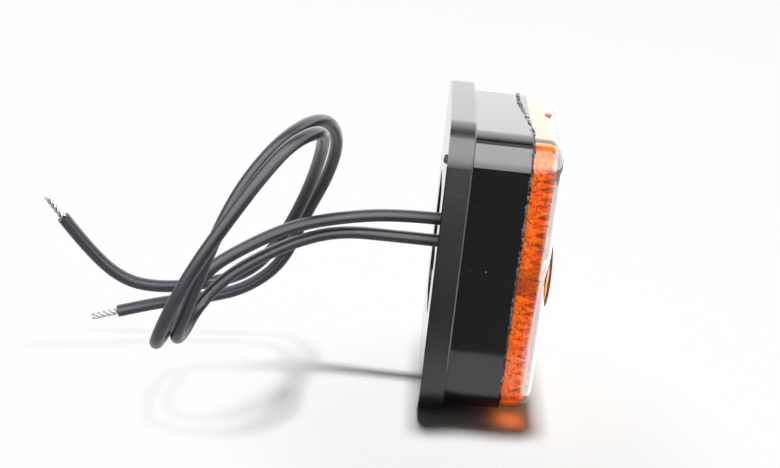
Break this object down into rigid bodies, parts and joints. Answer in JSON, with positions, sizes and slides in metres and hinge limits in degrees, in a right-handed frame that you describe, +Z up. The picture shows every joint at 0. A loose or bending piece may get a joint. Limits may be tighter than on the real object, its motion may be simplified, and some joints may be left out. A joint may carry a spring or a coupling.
{
  "type": "marker lamp",
  "caption": "Rectangular amber marker lamp with rounded corners: rubber base pad, black housing, prismatic lens with screw recesses, and loose stripped leads from the back.",
  "frame": {"origin": "centre of the screw holes on the back face of the base pad", "axes": "+X the way the lens faces, +Z up along the lamp's length, Y across its width"},
  "size_m": [0.1065, 0.0563, 0.063],
  "materials": {
    "pad_rubber": "satin dark rubber",
    "black_plastic": "polished black moulding",
    "amber_plastic": "clear amber moulding with a prismatic inside",
    "board_laminate": "white solder mask",
    "seal_resin": "matt black resin",
    "chip_black": "matt black",
    "can_metal": "plain metal can",
    "diode_plastic": "white body with a yellow window",
    "lead_insulation": "soft sheen black insulation",
    "tinned_wire": "tinned twisted strands",
    "copper_wire": "bare copper",
    "solder": "bright solder"
  },
  "bodies": {
    "root": {"base_pad": "pad_rubber", "housing": "black_plastic", "lens": "amber_plastic", "circuit_board": "board_laminate", "cable_seal": "seal_resin", "resistor_1": "chip_black", "resistor_2": "chip_black", "rectifier": "chip_black", "capacitor": "can_metal", "lead_1": "lead_insulation", "lead_2": "lead_insulation", "tinned_end_1": "tinned_wire", "tinned_end_2": "tinned_wire", "lead_tail_1": "copper_wire", "lead_tail_2": "copper_wire", "solder_joint_1": "solder", "solder_joint_2": "solder", "lamp_diode_1": "diode_plastic", "lamp_diode_2": "diode_plastic", "lamp_diode_3": "diode_plastic", "lamp_diode_4": "diode_plastic", "lamp_diode_5": "diode_plastic", "lamp_diode_6": "diode_plastic"}
  },
  "joints": []
}
